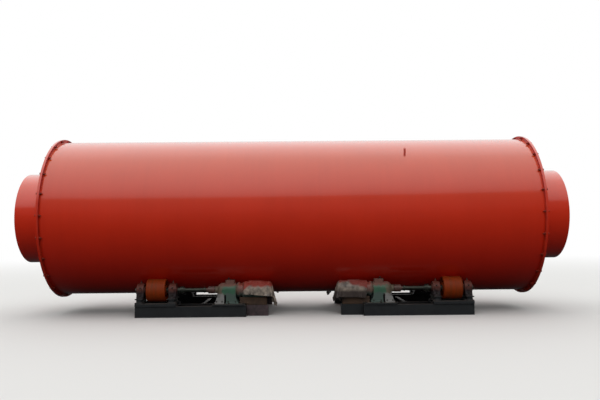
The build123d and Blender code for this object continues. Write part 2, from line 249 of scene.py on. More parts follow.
spray_grain = noise_at(tree, place, 90, 2, 0.5)
peel = bumped(tree, spray_grain, 0.3, 0.0006)
drive(shader, coat_weight=rim, base_color=ring_film, normal=peel)

finish_node("drum_shell", drum_enamel)
for end in ("inlet", "outlet"):
    finish_node(f"{end}_flange_ring", ring_enamel)
    finish_node(f"{end}_end_plate", drum_enamel)
    finish_node(f"{end}_neck", drum_enamel)


# Ring of 24 bolts through each flange pair: heads outside on the end plate, nuts towards the shell.
# They are black hexagon bolts that only caught the edge of the drum's spray.
def shape_tree(name, *measures):
    """A Geometry Nodes tree that takes a mesh, measures and a finish, and its input sockets."""
    tree = bpy.data.node_groups.new(name, "GeometryNodeTree")
    tree.interface.new_socket("Geometry", in_out="OUTPUT", socket_type="NodeSocketGeometry")
    inputs = [("Geometry", "Geometry"), *((word, "Float") for word in measures), ("Finish", "Material")]
    for word, kind in inputs:
        tree.interface.new_socket(word, in_out="INPUT", socket_type=f"NodeSocket{kind}")
    return tree, add_node(tree, "NodeGroupInput").outputs


def end_shape_tree(tree, geometry, finish):
    """Give the tree's shape its finish and send it out."""
    coated = add_node(tree, "GeometryNodeSetMaterial", inputs={
        "Geometry": geometry, "Material": finish})
    add_node(tree, "NodeGroupOutput", inputs={"Geometry": coated.outputs["Geometry"]})


def raised(tree, mesh, height):
    """A mesh moved up."""
    lift = add_node(tree, "ShaderNodeCombineXYZ", inputs={"Z": height})
    return add_node(tree, "GeometryNodeTransform", inputs={
        "Geometry": mesh, "Translation": lift.outputs[0]}).outputs["Geometry"]


bolt_measures = (
    "Head Width", "Head Height", "Washer Width", "Washer Height", "End Width", "End Height")
hexagon_bolts, given = shape_tree("hexagon_bolts", *bolt_measures)
tree = hexagon_bolts
turn_seed = 4
corner = reckon(tree, "MULTIPLY", given["Head Width"], 1 / math.sqrt(3))
head = add_node(tree, "GeometryNodeMeshCylinder", inputs={
    "Vertices": 6, "Radius": corner, "Depth": given["Head Height"]})
head_half = reckon(tree, "MULTIPLY_ADD", given["Head Height"], 0.5, given["Washer Height"])
washer_radius = reckon(tree, "MULTIPLY", given["Washer Width"], 0.5)
washer = add_node(tree, "GeometryNodeMeshCylinder", inputs={
    "Vertices": 20, "Radius": washer_radius, "Depth": given["Washer Height"]})
washer_half = reckon(tree, "MULTIPLY", given["Washer Height"], 0.5)
chamfered_tip = 0.42
end_base = reckon(tree, "MULTIPLY", given["End Width"], 0.5)
end_tip = reckon(tree, "MULTIPLY", given["End Width"], chamfered_tip)
end = add_node(tree, "GeometryNodeMeshCone", inputs={
    "Vertices": 14, "Radius Top": end_tip, "Radius Bottom": end_base,
    "Depth": given["End Height"]})
end_height = reckon(tree, "ADD", given["Head Height"], given["Washer Height"])
bolt = add_node(tree, "GeometryNodeJoinGeometry")
for part, middle in ((head, head_half), (washer, washer_half), (end, end_height)):
    tree.links.new(raised(tree, part.outputs["Mesh"], middle), bolt.inputs["Geometry"])
axis = add_node(tree, "GeometryNodeInputNamedAttribute", {"data_type": "FLOAT_VECTOR"}, {"Name": "axis"})
stand = add_node(tree, "FunctionNodeAlignRotationToVector", {"axis": "Z"}, {
    "Vector": axis.outputs["Attribute"]})
spin = add_node(tree, "FunctionNodeRandomValue", {"data_type": "FLOAT"}, {
    "Min": 0.0, "Max": math.tau, "Seed": turn_seed})
spin_z = add_node(tree, "ShaderNodeCombineXYZ", inputs={"Z": spin.outputs["Value"]})
spin_turn = add_node(tree, "FunctionNodeEulerToRotation", inputs={"Euler": spin_z.outputs[0]})
turned = add_node(tree, "FunctionNodeRotateRotation", {"rotation_space": "LOCAL"}, {
    "Rotation": stand.outputs["Rotation"], "Rotate By": spin_turn.outputs["Rotation"]})
placed = add_node(tree, "GeometryNodeInstanceOnPoints", inputs={
    "Points": given["Geometry"], "Instance": bolt.outputs["Geometry"],
    "Rotation": turned.outputs["Rotation"]})
real = add_node(tree, "GeometryNodeRealizeInstances", inputs={"Geometry": placed.outputs["Instances"]})
end_shape_tree(tree, real.outputs["Geometry"], given["Finish"])


def frozen_mesh(source, name):
    """What an object's modifiers make of it, as a plain mesh; the object goes."""
    graph = bpy.context.evaluated_depsgraph_get()
    mesh = bpy.data.meshes.new_from_object(source.evaluated_get(graph))
    mesh.name = name
    bpy.data.objects.remove(source)
    return mesh


def add_piece(name, mesh, body):
    """A finished piece on a body."""
    piece = add_object(name, mesh)
    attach(piece, body)
    return piece


def evaluated_piece(name, mesh, tree, sizes, body):
    """Run a Geometry Nodes tree on a mesh and keep its result as one plain piece."""
    source = add_object(f"{name}_source", mesh)
    modifier = source.modifiers.new(tree.name, "NODES")
    modifier.node_group = tree
    for item in tree.interface.items_tree:
        if item.in_out == "INPUT" and item.name in sizes:
            modifier[item.identifier] = sizes[item.name]
    return add_piece(name, frozen_mesh(source, name), body)


def fit_bolts(name, places, sizes, finish, body):
    """One piece of bolts: each place is a point on the surface and the way the head faces."""
    mesh = bpy.data.meshes.new(f"{name}_source")
    mesh.from_pydata([point for point, _ in places], [], [])
    axes = mesh.attributes.new("axis", "FLOAT_VECTOR", "POINT")
    for item, (_, facing) in zip(axes.data, places):
        item.vector = facing
    return evaluated_piece(name, mesh, hexagon_bolts, {**sizes, "Finish": finish}, body)


def bolt_sizes(*sizes):
    """The measures of one kind of bolt."""
    return dict(zip(bolt_measures, sizes))


def ring_of(count, radius, first=0.0):
    """Evenly spaced places round a ring; the first is that many steps from its start."""
    angles = [math.tau * (number + first) / count for number in range(count)]
    return [(radius * math.cos(angle), radius * math.sin(angle)) for angle in angles]


bolt_steel = start_material(
    "steel_bolts_black_oversprayed", base_color=linear("#84281A"), roughness=0.6, ior=1.5)[0]

flange_bolt_circle = 1.530
flange_bolt_count = 24
m24_head = bolt_sizes(0.036, 0.015, 0.044, 0.004, 0.033, 0.002)
m24_nut = bolt_sizes(0.036, 0.021, 0.044, 0.004, 0.024, 0.020)
flange_backs = {}
for end, side, outer in (("inlet", -1, 0), ("outlet", 1, 1)):
    inner_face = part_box(f"{end}_flange_ring")[1 - outer].x
    outer_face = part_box(f"{end}_end_plate")[outer].x
    flange_backs[end] = (inner_face, side)
    for face, way, sizes, part in (
            (outer_face, side, m24_head, "bolts"), (inner_face, -side, m24_nut, "nuts")):
        places = [
            ((face, y, axis_height + z), (way, 0, 0))
            for y, z in ring_of(flange_bolt_count, flange_bolt_circle)]
        fit_bolts(f"{end}_flange_{part}", places, sizes, bolt_steel, "drum")


# Fillet welds run round the drum where the flange ring meets the shell.
# A hand-laid bead has a ripple every few millimetres, and the enamel covers it.
weld_beads, given = shape_tree("weld_beads", "Bead Radius")
tree = weld_beads
ripple_spacing, ripple_depth, ripple_seed = 0.009, 0.16, 7
seam = add_node(tree, "GeometryNodeMeshToCurve", inputs={"Mesh": given["Geometry"]})
steps = add_node(tree, "GeometryNodeResampleCurve", {"mode": "LENGTH"}, {
    "Curve": seam.outputs["Curve"], "Length": ripple_spacing})
low = reckon(tree, "SUBTRACT", 1.0, ripple_depth)
high = reckon(tree, "ADD", 1.0, ripple_depth)
ripple = add_node(tree, "FunctionNodeRandomValue", {"data_type": "FLOAT"}, {
    "Min": low, "Max": high, "Seed": ripple_seed})
swell = reckon(tree, "MULTIPLY", ripple.outputs["Value"], given["Bead Radius"])
radius = add_node(tree, "GeometryNodeSetCurveRadius", inputs={
    "Curve": steps.outputs["Curve"], "Radius": swell})
profile = add_node(tree, "GeometryNodeCurvePrimitiveCircle", inputs={"Resolution": 7, "Radius": 1.0})
bead = add_node(tree, "GeometryNodeCurveToMesh", inputs={
    "Curve": radius.outputs["Curve"], "Profile Curve": profile.outputs["Curve"],
    "Scale": add_node(tree, "GeometryNodeInputRadius").outputs["Radius"], "Fill Caps": True})
smooth = add_node(tree, "GeometryNodeSetShadeSmooth", inputs={"Geometry": bead.outputs["Mesh"]})
end_shape_tree(tree, smooth.outputs["Geometry"], given["Finish"])


def lay_welds(name, paths, bead_radius, finish, body):
    """One piece of weld beads along paths; each path is its points and whether it closes."""
    points = []
    edges = []
    for path, closed in paths:
        first = len(points)
        points += path
        edges += [(first + i, first + i + 1) for i in range(len(path) - 1)]
        if closed:
            edges.append((len(points) - 1, first))
    mesh = bpy.data.meshes.new(f"{name}_source")
    mesh.from_pydata(points, edges, [])
    sizes = {"Bead Radius": bead_radius, "Finish": finish}
    return evaluated_piece(name, mesh, weld_beads, sizes, body)


drum_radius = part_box("drum_shell")[1].y
flange_bead, sunk_in_corner = 0.007, 0.001
hoop_steps = 180
for end, (inner_face, side) in flange_backs.items():
    hoop = [
        (inner_face - side * sunk_in_corner, y, axis_height + z)
        for y, z in ring_of(hoop_steps, drum_radius + sunk_in_corner)]
    lay_welds(
        f"{end}_flange_weld", [(hoop, True)], flange_bead, ring_enamel, "drum")


# The flights are plain mill plate, cut and welded inside the drum and never painted.
# Blue-grey scale with light rust along it.
mill_plate, tree, shader, place = start_material("steel_hot_rolled", roughness=0.6)
rust_cloud = noise_at(tree, place, 6, 8, 0.7)
rust = mapped(tree, rust_cloud, 0.42, 0.62)
scale_colour = mixed(tree, rust, "#55504C", "#7E4A2C")
bareness = mapped(tree, rust, 0, 1, 0.7, 0)
pits = bumped(tree, rust_cloud, 0.5, 0.001)
drive(shader, base_color=scale_colour, metallic=bareness, normal=pits)
for node in ("inlet_flights", "middle_flights", "outlet_flights"):
    finish_node(node, mill_plate)


# Four roller units carry the drum, each mirrored from the left near one: a steel wheel on an axle.
# The wheel was sprayed orange-brown over primer, and rolling has rubbed its tread in bands.
station_middle = 0.204
station_reach = 2.7085
shaft_height = 0.475
unit_rows = {}
for joint in frame["joints"]:
    if joint["child"].endswith("_wheelset"):
        unit_rows[joint["child"].removesuffix("_wheelset")] = Vector(joint["pos_m"])


def unit_point(unit, along, across, height):
    """A place in one unit: along its shaft towards mid-drum, outwards, and up from its shaft."""
    middle = unit_rows[unit]
    inward = 1 if middle.x < station_middle else -1
    outward = -1 if middle.y < 0 else 1
    return (middle.x + inward * along, middle.y + outward * across, middle.z + height)


def shaft_way(unit, way):
    """The direction of one unit's shaft, with 1 towards mid-drum and -1 away from it."""
    return tuple(Vector(unit_point(unit, way, 0, 0)) - Vector(unit_point(unit, 0, 0, 0)))


def along_shaft(tree, place):
    """Metres along the shaft from the roller's middle, the same in all four units."""
    split = split_xyz(tree, place)
    shifted = reckon(tree, "SUBTRACT", split["X"], station_middle)
    reach = reckon(tree, "ABSOLUTE", shifted)
    return reckon(tree, "SUBTRACT", station_reach, reach), split["Z"]


wheel_paint, tree, shader, place = start_material(
    "orange_brown_primer_sprayed", roughness=0.5, specular_ior_level=0.2)
band_place = stretched(tree, place, (60, 1.2, 1.2))
bands = noise_at(tree, band_place, 1, 4, 0.6)
patches = noise_at(tree, place, 14, 7, 0.65)
normal = add_node(tree, "ShaderNodeNewGeometry").outputs["Normal"]
facing = split_xyz(tree, normal)
sideways = reckon(tree, "ABSOLUTE", facing["X"])
tread = mapped(tree, sideways, 0.2, 0.6, 1, 0)
paint = mixed(tree, patches, "#6B1F05", "#8C380E")
rub = mapped(tree, bands, 0.45, 0.75)
rubbed = reckon(tree, "MULTIPLY", rub, tread)
worn = mixed(tree, rubbed, paint, "#5E2D12")
shine = mapped(tree, rubbed, 0, 1, 0.6, 0.4)
texture = bumped(tree, patches, 0.4, 0.0008)
drive(shader, base_color=worn, roughness=shine, normal=texture)
for unit in unit_rows:
    finish_node(f"{unit}_roller", wheel_paint)


# The shaft is turned steel under a film of oil; its coupling and end hub caught red overspray.
# Turning marks run round it, and the pin bolts of the coupling are blackened.
shaft_steel, tree, shader, place = start_material("steel_turned_and_oiled", roughness=0.35)
along, _ = along_shaft(tree, place)
ring_place = stretched(tree, place, (420, 4, 4))
turning = noise_at(tree, ring_place, 1, 3, 0.5)
spots = noise_at(tree, place, 30, 6, 0.7)
steel = mixed(tree, spots, "#2F332D", "#5E625A")
hub_edge = (0.89, 0.92)
hub_start = mapped(tree, along, *hub_edge, smooth=True)
drift = mapped(tree, spots, 0.35, 0.6, 0.35, 1.0)
sprayed = reckon(tree, "MULTIPLY", hub_start, drift)
shaft_colour = mixed(tree, sprayed, steel, "#5C3D38")
metal = mapped(tree, sprayed, 0, 1, 0.75, 0)
gloss = mapped(tree, spots, 0, 1, 0.28, 0.52)
marks = bumped(tree, turning, 0.3, 0.0004)
drive(shader, base_color=shaft_colour, metallic=metal, roughness=gloss, normal=marks)

black_steel, tree, shader, place = start_material(
    "steel_bolts_blackened", roughness=0.45, metallic=0.85)
dull = noise_at(tree, place, 80, 4)
bolt_colour = mixed(tree, dull, "#2E2B29", "#6B625B")
drive(shader, base_color=bolt_colour)

coupling_faces = ((0.433, -1), (0.485, 1))
coupling_bolt_circle = 0.0585
coupling_bolt_count = 6
m8 = bolt_sizes(0.013, 0.0075, 0.015, 0.0015, 0.008, 0.004)
for unit in unit_rows:
    finish_node(f"{unit}_drive_shaft", shaft_steel)
    places = [
        (unit_point(unit, start, across, rise), shaft_way(unit, way))
        for start, way in coupling_faces
        for across, rise in ring_of(coupling_bolt_count, coupling_bolt_circle)]
    fit_bolts(f"{unit}_coupling_bolts", places, m8, black_steel, f"{unit}_wheelset")


# Each axle turns in two split plummer blocks, grey castings bolted to welded black stools.
# The caps caught red overspray from the drum; oil and dust darken the castings low down.
bearing_iron, tree, shader, place = start_material("grey_iron_cast", roughness=0.6)
_, height = along_shaft(tree, place)
sand = noise_at(tree, place, 160, 4, 0.6)
grime_and_painted_shade = noise_at(tree, place, 16, 6, 0.65)
wavy = reckon(tree, "MULTIPLY_ADD", grime_and_painted_shade, 0.12, height)
cap = mapped(tree, wavy, shaft_height - 0.02, shaft_height + 0.10, smooth=True)
iron = mixed(tree, grime_and_painted_shade, "#211C1D", "#3A3234")
dusted = mixed(tree, cap, iron, "#552B22")
edge = soft_corners(tree, 0.005)
cast = bumped(tree, sand, 0.5, 0.0012, edge)
drive(shader, base_color=dusted, normal=cast)

bearing_places = (-0.293, 0.293)
cap_bolt_across = 0.113
cap_bolt_base = 0.034
foot_bolt_across = 0.160
foot_bolt_base = -0.106
m20 = bolt_sizes(0.030, 0.016, 0.037, 0.003, 0.020, 0.010)
m24 = bolt_sizes(0.036, 0.019, 0.044, 0.004, 0.024, 0.014)
seal_face = 0.082
seal_screw_circle = 0.066
seal_screw_count = 4
m6 = bolt_sizes(0.010, 0.004, 0.0115, 0.001, 0.008, 0.001)
nipple_profile = ((0.011, 0), (0.011, 0.006), (0.006, 0.008), (0.006, 0.016), (0.0085, 0.019),
                  (0.0085, 0.023), (0.004, 0.028), (0.004, 0.031), (0.0, 0.032))
boss_top = 0.150


def lathe(shape, profile, base, steps=24):
    """Add a turned part that stands upright on a base point; the profile is (radius, height)."""
    rings = []
    for radius, rise in profile:
        if radius == 0:
            rings.append([shape.verts.new((base[0], base[1], base[2] + rise))])
            continue
        rings.append([
            shape.verts.new((base[0] + x, base[1] + y, base[2] + rise))
            for x, y in ring_of(steps, radius)])
    shape.faces.new(reversed(rings[0]))
    for low, high in zip(rings, rings[1:]):
        for step in range(steps):
            after = (step + 1) % steps
            if len(high) == 1:
                shape.faces.new((low[step], low[after], high[0]))
            else:
                shape.faces.new((low[step], low[after], high[after], high[step]))


def mesh_from(shape, name):
    """A mesh made of a bmesh, which is freed."""
    mesh = bpy.data.meshes.new(name)
    shape.to_mesh(mesh)
    shape.free()
    return mesh


def make_piece(name, shape, material, body, smooth=False):
    """Turn a bmesh into a finished piece on a body."""
    bmesh.ops.recalc_face_normals(shape, faces=shape.faces)
    mesh = mesh_from(shape, name)
    if smooth:
        mesh.shade_smooth()
    mesh.materials.append(material)
    return add_piece(name, mesh, body)


def upright_bolts(unit, part, starts, across, height, sizes, shift=0):
    """One unit's bolts on a level face, in two rows that stand across from a shifted middle."""
    places = [
        (unit_point(unit, start, shift + side * across, height), (0, 0, 1))
        for start in starts for side in (-1, 1)]
    fit_bolts(f"{unit}_{part}", places, sizes, black_steel, "base")


for unit in unit_rows:
    finish_node(f"{unit}_bearings", bearing_iron)
    for part, across, base, sizes in (
            ("cap_bolts", cap_bolt_across, cap_bolt_base, m20),
            ("foot_bolts", foot_bolt_across, foot_bolt_base, m24)):
        upright_bolts(unit, part, bearing_places, across, base, sizes)
    places = [
        (unit_point(unit, start + side * seal_face, across, rise), shaft_way(unit, side))
        for start in bearing_places for side in (-1, 1)
        for across, rise in ring_of(seal_screw_count, seal_screw_circle, 0.5)]
    fit_bolts(f"{unit}_seal_screws", places, m6, black_steel, "base")
    nipples = bmesh.new()
    for start in bearing_places:
        lathe(nipples, nipple_profile, unit_point(unit, start, 0, boss_top))
    make_piece(f"{unit}_grease_nipples", nipples, black_steel, "base", smooth=True)


# Frames, stools and cross beams are rolled channel and plate, welded and painted near-black.
# Yard dust lies on top faces, edges are rubbed to primer, and the inlet motor beams' coat is thin.
frame_paint, tree, shader, place = start_material("black_alkyd_paint_brushed", roughness=0.5)
brush = noise_at(tree, place, 9, 8, 0.68)
grit = noise_at(tree, place, 60, 4, 0.6)
flat = add_node(tree, "ShaderNodeNewGeometry").outputs["Normal"]
upward = split_xyz(tree, flat)
lying = mapped(tree, upward["Z"], 0.5, 1.0)
settled = mapped(tree, brush, 0.35, 0.65, 0.1, 0.6)
dust = reckon(tree, "MULTIPLY", lying, settled)
black = mixed(tree, brush, "#191B1D", "#2C2E30")
dusty = mixed(tree, dust, black, "#6E655B")
rounded = soft_corners(tree, 0.004)
same = add_node(tree, "ShaderNodeVectorMath", {"operation": "DOT_PRODUCT"}, {0: rounded, 1: flat})
flat_cosine, corner_cosine = 0.97, 0.85
corner = mapped(tree, same.outputs["Value"], flat_cosine, corner_cosine)
chipped = mapped(tree, grit, 0.5, 0.62)
wear = reckon(tree, "MULTIPLY", corner, chipped)
worn = mixed(tree, wear, dusty, "#7B5A48")
motor_beam_start = 1.646
along, _ = along_shaft(tree, place)
motor_beam = reckon(tree, "GREATER_THAN", along, motor_beam_start)
split = split_xyz(tree, place)
inlet = reckon(tree, "LESS_THAN", split["X"], station_middle)
inlet_beam = reckon(tree, "MULTIPLY", motor_beam, inlet)
primed = reckon(tree, "MULTIPLY", inlet_beam, settled)
beam = mixed(tree, primed, worn, "#6A5456")
sheen = mapped(tree, dust, 0, 1, 0.42, 0.85)
strokes = bumped(tree, grit, 0.3, 0.0006, rounded)
drive(shader, base_color=beam, roughness=sheen, normal=strokes)
for node in ("left_cross_beams", "right_cross_beams"):
    finish_node(node, frame_paint)

frame_top, sole_top, bed_top = [top - shaft_height for top in (0.200, 0.230, 0.250)]
sole_bolt_across = 0.222
sole_bolt_places = (1.066, 1.33, 1.60)
pedestal_half_width, pedestal_half_length = 0.048, 0.203
stool_weld_levels = (bed_top + 0.016, bed_top + 0.069)
web_across, toe_across = 0.242, 0.169
rail_spans = ((-0.352, 0.375), (1.045, 1.62))
frame_bead = 0.005
for unit in unit_rows:
    finish_node(f"{unit}_base_frame", frame_paint)
    finish_node(f"{unit}_pedestals", frame_paint)
    upright_bolts(
        unit, "sole_plate_bolts", sole_bolt_places, sole_bolt_across, sole_top, m20)
    seams = []
    for start in bearing_places:
        for level in stool_weld_levels:
            loop = [
                unit_point(unit, start + x * pedestal_half_width, y * pedestal_half_length, level)
                for x, y in ((-1, -1), (1, -1), (1, 1), (-1, 1))]
            seams.append((loop, True))
    for across in (-web_across, -toe_across, toe_across, web_across):
        for span in rail_spans:
            seams.append(([unit_point(unit, end, across, frame_top) for end in span], False))
    lay_welds(f"{unit}_frame_welds", seams, frame_bead, frame_paint, "base")


# The gearbox is an arched green casting on two legs, with a bolted cover and a breather.
# Red overspray dulls its top and both ends, and the legs are worn down to pale primer.
# The places where each wear starts and ends are along the shaft, or heights above the ground.
case_top_spray = (shaft_height + 0.135, shaft_height + 0.195)
case_motor_end, case_shaft_end, between_legs = (1.43, 1.47), (1.12, 1.06), 1.298
leg_wear = (shaft_height + 0.045, shaft_height + 0.02)
green_paint, tree, shader, place = start_material("green_machine_enamel_on_casting", roughness=0.4)
along, height = along_shaft(tree, place)
cast_skin = noise_at(tree, place, 110, 3, 0.55)
blotch = noise_at(tree, place, 13, 7, 0.66)
green = mixed(tree, blotch, "#244536", "#466D55")
ragged = reckon(tree, "MULTIPLY_ADD", blotch, 0.20, height)
top_spray = mapped(tree, ragged, *case_top_spray, smooth=True)
end_spray = mapped(tree, along, *case_motor_end, 0, 0.8, smooth=True)
ragged_front = reckon(tree, "MULTIPLY_ADD", blotch, -0.24, along)
front_spray = mapped(tree, ragged_front, *case_shaft_end, 0, 0.6, smooth=True)
both_ends = reckon(tree, "MAXIMUM", front_spray, end_spray)
spray = reckon(tree, "MAXIMUM", top_spray, both_ends)
sprayed = mixed(tree, spray, green, "#6C4B42")
ragged_leg = reckon(tree, "MULTIPLY_ADD", blotch, 0.08, along)
first_leg = reckon(tree, "LESS_THAN", ragged_leg, between_legs)
low = mapped(tree, ragged, *leg_wear, smooth=True)
legs = mixed(tree, first_leg, "#46554F", "#7A7977")
leg = mixed(tree, low, sprayed, legs)
dulled = mapped(tree, spray, 0, 1, 0.35, 0.75)
soft_edge = soft_corners(tree, 0.006)
skin = bumped(tree, cast_skin, 0.4, 0.001, soft_edge)
drive(shader, base_color=leg, roughness=dulled, normal=skin)

adapter_face = 1.478
adapter_bolt_circle = 0.121
adapter_bolt_count = 8
cover_low, cover_high, cover_half_width, cover_shift = 1.258, 1.432, 0.060, 0.015
cover_top = 0.178
cover_bolt_inset, cover_bolt_side_inset = 0.018, 0.016
breather_start = 1.315
m10 = bolt_sizes(0.017, 0.007, 0.020, 0.002, 0.014, 0.001)
m12 = bolt_sizes(0.019, 0.008, 0.024, 0.002, 0.016, 0.001)
m16 = bolt_sizes(0.024, 0.013, 0.030, 0.003, 0.016, 0.008)
foot_bolt_starts, gearbox_foot_across = (1.105, 1.205, 1.31, 1.45), 0.150
foot_thickness = 0.028
foot_top = sole_top + foot_thickness
cover_bolt_starts = (
    cover_low + cover_bolt_inset, (cover_low + cover_high) / 2, cover_high - cover_bolt_inset)
cover_bolt_across = cover_half_width - cover_bolt_side_inset
breather_profile = ((0.016, 0), (0.016, 0.010), (0.009, 0.012), (0.009, 0.022), (0.019, 0.025),
                    (0.019, 0.035), (0.014, 0.040), (0.0, 0.041))
for unit in unit_rows:
    finish_node(f"{unit}_gearbox", green_paint)
    places = [
        (unit_point(unit, adapter_face, across, rise), shaft_way(unit, -1))
        for across, rise in ring_of(adapter_bolt_count, adapter_bolt_circle, 0.5)]
    fit_bolts(f"{unit}_adapter_bolts", places, m12, black_steel, "base")
    upright_bolts(
        unit, "cover_bolts", cover_bolt_starts, cover_bolt_across, cover_top, m10,
        cover_shift)
    upright_bolts(
        unit, "gearbox_foot_bolts", foot_bolt_starts, gearbox_foot_across, foot_top, m16)
    breather = bmesh.new()
    lathe(breather, breather_profile, unit_point(unit, breather_start, cover_shift, cover_top))
    make_piece(f"{unit}_breather", breather, black_steel, "base", smooth=True)


# The motor is a finned cast-iron frame motor, sprayed grey-green. The film hides most of it, and
# the red overspray reached its flange, which stands out of the film.
motor_spray, motor_flange_end = (shaft_height - 0.10, shaft_height + 0.16), (1.66, 1.58)
motor_enamel, tree, shader, place = start_material("grey_green_motor_enamel", roughness=0.4)
fleck = noise_at(tree, place, 20, 6, 0.6)
motor_green = mixed(tree, fleck, "#3A4D48", "#5B6F69")
along, height = along_shaft(tree, place)
ragged = reckon(tree, "MULTIPLY_ADD", fleck, 0.10, height)
spray_low = mapped(tree, ragged, *motor_spray, smooth=True)
bare_flange = mapped(tree, along, *motor_flange_end, 0.25, 1.0, smooth=True)
spray = reckon(tree, "MULTIPLY", spray_low, bare_flange)
sprayed = mixed(tree, spray, motor_green, "#7E4238")
iron_skin = bumped(tree, fleck, 0.3, 0.001)
drive(shader, base_color=sprayed, normal=iron_skin)
for unit in unit_rows:
    finish_node(f"{unit}_motor", motor_enamel)


# Timber baulks prop the motors, each on a plank that levels the beam with the sole plate.
# They are rough-sawn pine gone brown in the yard, with softened arrises and saw marks across them.
pine, tree, shader, place = start_material("pine_rough_sawn_weathered", roughness=0.85)
grain_place = stretched(tree, place, (2.2, 38, 38))
grain = add_node(tree, "ShaderNodeTexNoise", inputs={
    "Vector": grain_place, "Scale": 1, "Detail": 7, "Roughness": 0.62, "Distortion": 0.4})
stain = noise_at(tree, place, 7, 5)
saw_place = stretched(tree, place, (330, 6, 6))
saw_marks = noise_at(tree, saw_place, 1, 2)
wood = mixed(tree, grain.outputs["Fac"], "#2A1E17", "#584435")
stained = mapped(tree, stain, 0.45, 0.7, 0, 0.7)
brown = mixed(tree, stained, wood, "#2A2320")
rough_face = reckon(tree, "MULTIPLY_ADD", grain.outputs["Fac"], 0.8, saw_marks)
sawn = bumped(tree, rough_face, 0.6, 0.0012)
drive(shader, base_color=brown, normal=sawn)

timber_start, timber_end, plank_start = 1.520, 2.020, 1.645
timber_half_width, timber_height, plank_height = 0.085, 0.1087, 0.030
arris, saw_depth, saw_fineness = 0.005, 0.0007, 9


def once_each(items):
    """The items without repeats, in their order, so each run makes the same mesh."""
    return list(dict.fromkeys(items))


def sawn_timber(shape, low, high, rows=16):
    """Add a timber with softened arrises and hollow, uneven faces."""
    middle = Vector([(a + b) / 2 for a, b in zip(low, high)])
    made = bmesh.ops.create_cube(shape, size=1)
    bmesh.ops.scale(shape, vec=[b - a for a, b in zip(low, high)], verts=made["verts"])
    bmesh.ops.translate(shape, vec=middle, verts=made["verts"])
    edges = once_each(edge for vert in made["verts"] for edge in vert.link_edges)
    rounded = bmesh.ops.bevel(
        shape, geom=edges, offset=arris, segments=3, profile=0.6, affect="EDGES")
    faces = once_each(face for vert in rounded["verts"] for face in vert.link_faces)
    long_edges = [
        edge for edge in once_each(edge for face in faces for edge in face.edges)
        if abs(edge.verts[0].co.x - edge.verts[1].co.x) > 0.5 * (high[0] - low[0])]
    bmesh.ops.subdivide_edges(shape, edges=long_edges, cuts=rows, use_grid_fill=True)
    for vert in once_each(vert for face in faces if face.is_valid for vert in face.verts):
        hollow = saw_depth * (1 + noise.noise(vert.co * saw_fineness))
        vert.co += (middle - vert.co).normalized() * hollow


timbers = bmesh.new()
for unit in unit_rows:
    for start, base, height in (
            (timber_start, sole_top, timber_height), (plank_start, frame_top, plank_height)):
        one_corner = unit_point(unit, start, -timber_half_width, base)
        other_corner = unit_point(unit, timber_end, timber_half_width, base + height)
        low = [min(pair) for pair in zip(one_corner, other_corner)]
        high = [max(pair) for pair in zip(one_corner, other_corner)]
        sawn_timber(timbers, low, high)
baulks = make_piece("sawn_timbers", timbers, pine, "base")
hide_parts("motor_timbers")


# Masking film was thrown over each motor before the drum was sprayed: thin cloudy polythene that
# was bundled up before, so it is creased all over, with red overspray on what faced the spray.
film_spray, painted_shade_full_height = (shaft_height + 0.115, shaft_height + 0.165), shaft_height - 0.06
gearbox_end, outlet_fan_x = (1.68, 1.56), (1.0, 1.1)
polythene, tree, shader, place = start_material(
    "polythene_film_cloudy_creased", roughness=0.38, ior=1.51)
cloud = noise_at(tree, place, 9, 6, 0.6)
crease = add_node(tree, "ShaderNodeTexNoise", {"noise_type": "RIDGED_MULTIFRACTAL"}, {
    "Vector": place, "Scale": 8, "Detail": 3, "Roughness": 0.4})
speck = noise_at(tree, place, 55, 4, 0.7)
cloudy = mapped(tree, cloud, 0.35, 0.65)
film_colour = mixed(tree, cloudy, "#5A534D", "#A09284")
split = split_xyz(tree, place)
wander = reckon(tree, "MULTIPLY_ADD", cloud, 0.16, split["Z"])
along, height = along_shaft(tree, place)
near_gearbox = mapped(tree, along, *gearbox_end, 0, 0.06, smooth=True)
outlet_fan = mapped(tree, split["X"], *outlet_fan_x, -0.07, 0, smooth=True)
outlet = reckon(tree, "GREATER_THAN", split["X"], station_middle)
missed = reckon(tree, "MULTIPLY", outlet_fan, outlet)
most = reckon(tree, "ADD", wander, near_gearbox)
sprayed_at = reckon(tree, "ADD", most, missed)
high_up = mapped(tree, sprayed_at, *film_spray, smooth=True)
misted = mapped(tree, speck, 0.3, 0.7, 0.8, 1.0)
overspray = reckon(tree, "MULTIPLY", high_up, misted)
reddened = mixed(tree, overspray, film_colour, "#821F11")
# Painted shade: on the outlet units the film is mixed a quarter of the way to a dark brown-grey all
# over, and nearly all the way from the shaft height down, for the shade on its lower part.
painted_shade_low = mapped(tree, height, shaft_height, painted_shade_full_height, 0.24, 0.92, smooth=True)
grime_and_painted_shade = reckon(tree, "MULTIPLY", painted_shade_low, outlet)
painted_shade_colour = mixed(tree, grime_and_painted_shade, reddened, "#3A3231")
dulled = mapped(tree, overspray, 0, 1, 0.26, 0.75)
creased = bumped(tree, crease.outputs["Fac"], 0.3, 0.0025)
drive(shader, base_color=painted_shade_colour, roughness=dulled, normal=creased)

film_start, film_length = 1.535, 0.865
film_step, film_skin = 0.0115, 0.0012
crumple_depth, large_creases, small_creases = 0.013, 9, 21
along_shift, across_shift = 7.3, 3.1
fall_frames = 62
motor_radius, motor_clearance = 0.136, 0.003
motor_ends = (1.48, 2.075)
drop_height = 0.185
film_weight_and_stiffness = {
    "quality": 6, "mass": 0.12, "shear_stiffness": 8, "bending_stiffness": 1.2,
    "bending_damping": 1.0, "air_damping": 2, "tension_damping": 8, "compression_damping": 8,
    "shear_damping": 8}
film_contact = {
    "collision_quality": 3, "distance_min": 0.005, "use_self_collision": True,
    "self_distance_min": 0.004, "friction": 10, "self_friction": 8}


def ridge(place, fineness):
    """Sharp-crested noise, as creases are."""
    return 0.5 - abs(2 * noise.noise(place * fineness))


